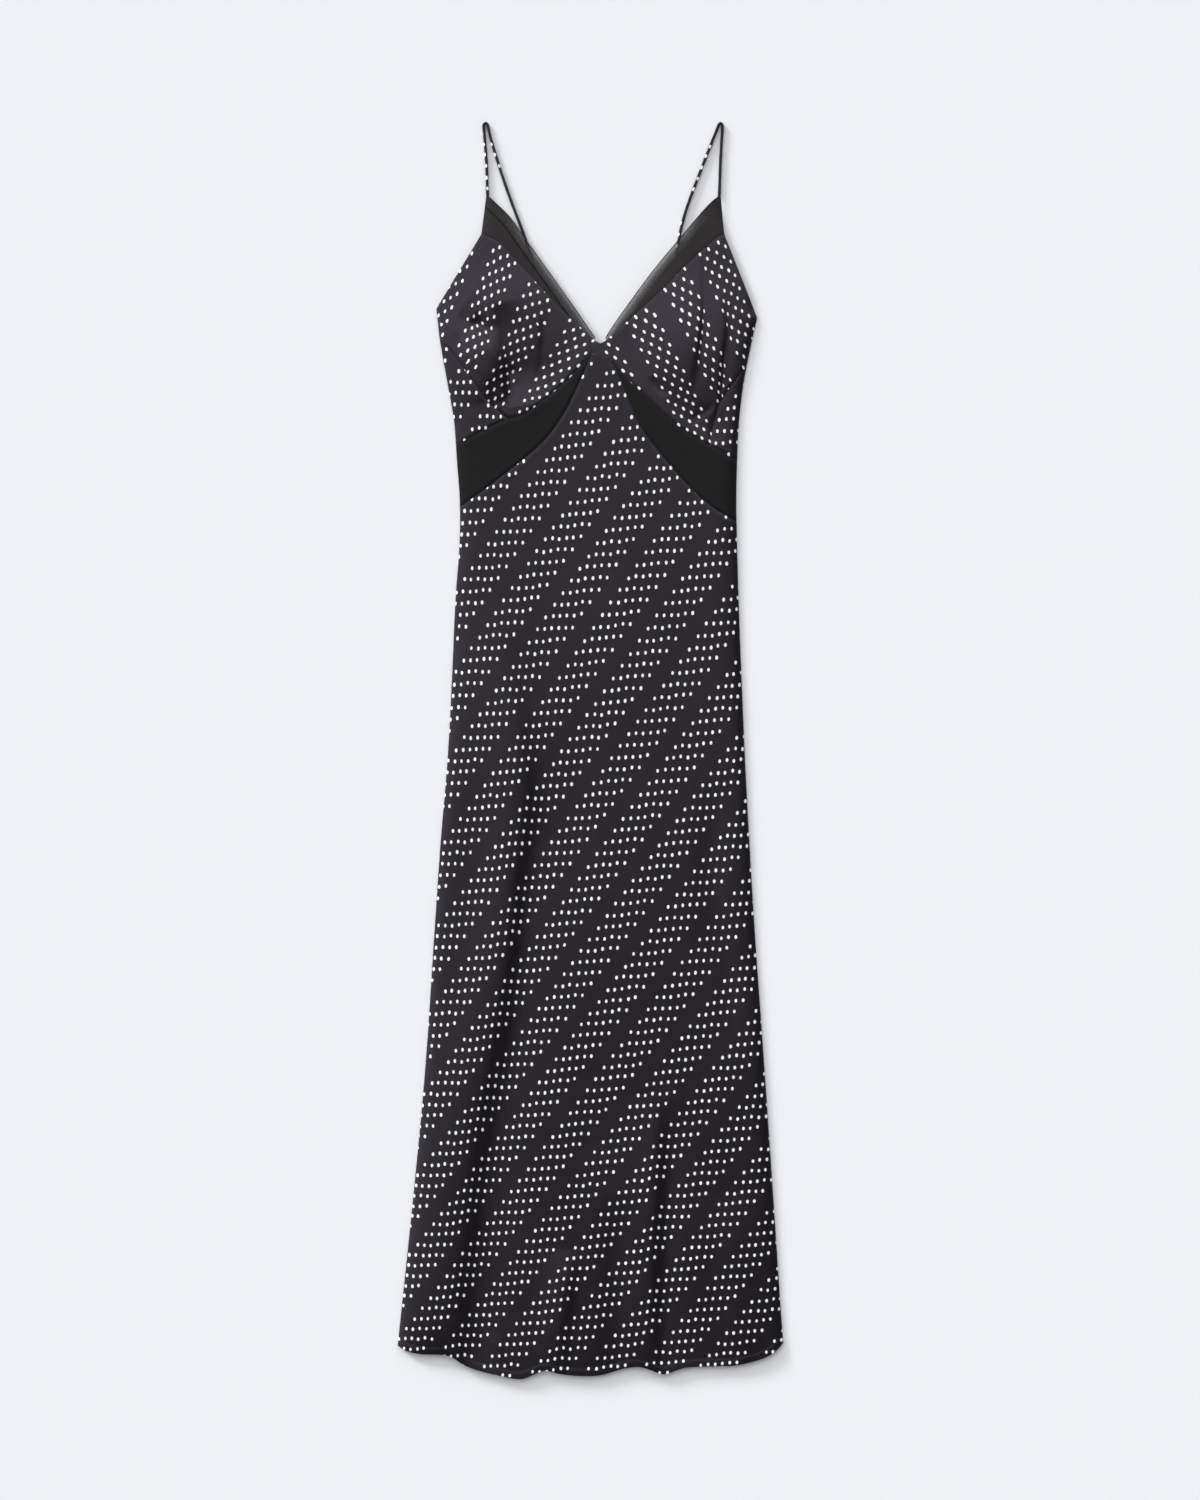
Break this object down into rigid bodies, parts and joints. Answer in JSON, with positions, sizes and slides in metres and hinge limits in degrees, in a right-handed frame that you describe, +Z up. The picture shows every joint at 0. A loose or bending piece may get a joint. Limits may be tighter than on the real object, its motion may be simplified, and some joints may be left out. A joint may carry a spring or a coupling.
{
  "type": "slip dress",
  "caption": "Long slip dress in dotted satin with thin straps, plain inserts under the cups and sheer neck bands, laid flat on its back.",
  "frame": {"origin": "middle of the underside's bounding box, on the surface that the dress lies on", "axes": "+Y from the hem to the strap tops, +Z up from the surface to the front of the dress, +X to the right in the picture, which is the wearer's left"},
  "size_m": [0.4236, 1.3815, 0.0183],
  "materials": {
    "dotted_satin": "soft satin, charcoal with rows of small white dots",
    "plain_satin": "soft satin, plain near-black",
    "sheer": "fine matt net, see-through at the edge"
  },
  "bodies": {
    "root": {"back": "dotted_satin", "front_skirt": "dotted_satin", "insert_left": "plain_satin", "insert_right": "plain_satin", "side_panel_left": "dotted_satin", "side_panel_right": "dotted_satin", "cup_left": "dotted_satin", "cup_right": "dotted_satin", "neck_band_left": "sheer", "neck_band_right": "sheer", "strap_left": "dotted_satin", "strap_right": "dotted_satin"}
  },
  "joints": []
}
